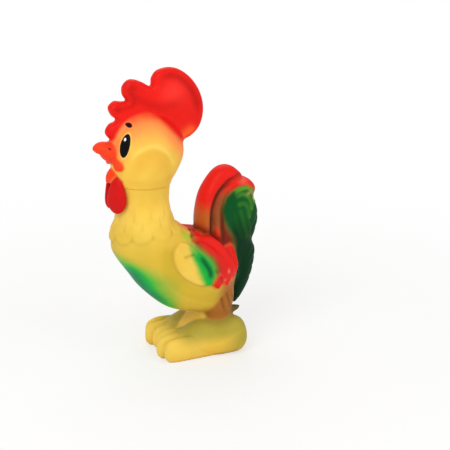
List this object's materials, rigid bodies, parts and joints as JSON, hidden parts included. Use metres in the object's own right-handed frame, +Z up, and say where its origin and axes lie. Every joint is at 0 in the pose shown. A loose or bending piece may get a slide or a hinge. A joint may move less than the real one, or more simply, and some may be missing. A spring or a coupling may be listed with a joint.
{
  "type": "cockerel squeeze toy",
  "caption": "Hollow soft vinyl cockerel that squeaks when squeezed, with a turning head, feathered ruff, wings and tail, standing on two broad feet.",
  "frame": {"origin": "middle of the flat underside of the feet, on the floor", "axes": "-X is the way the bird faces, +Y its right-hand side, +Z up"},
  "size_m": [0.1043, 0.0618, 0.1773],
  "materials": {
    "body_vinyl": "satin soft vinyl with airbrushed red, orange and green",
    "head_vinyl": "satin soft vinyl with airbrushed red comb, beak and wattles",
    "squeaker_plastic": "moulded, matt",
    "reed_film": "clear amber film"
  },
  "bodies": {
    "body": {"body_shell": "body_vinyl", "squeaker_barrel": "squeaker_plastic", "squeaker_cap": "squeaker_plastic", "reed_channel": "squeaker_plastic", "reed_clamp": "squeaker_plastic"},
    "head": {"head_shell": "head_vinyl"},
    "reed": {"reed_tongue": "reed_film"}
  },
  "joints": [
    {"name": "head_turn", "type": "hinge", "parent": "body", "child": "head", "pos_m": [-0.0335, 0, 0.108], "axis": [0, 0, 1], "continuous": true},
    {"name": "reed_flutter", "type": "hinge", "parent": "body", "child": "reed", "pos_m": [0.006, 0, 0.0161], "axis": [1, 0, 0], "range_deg": [-2, 4], "stiffness_Nm_per_rad": 0.001}
  ]
}
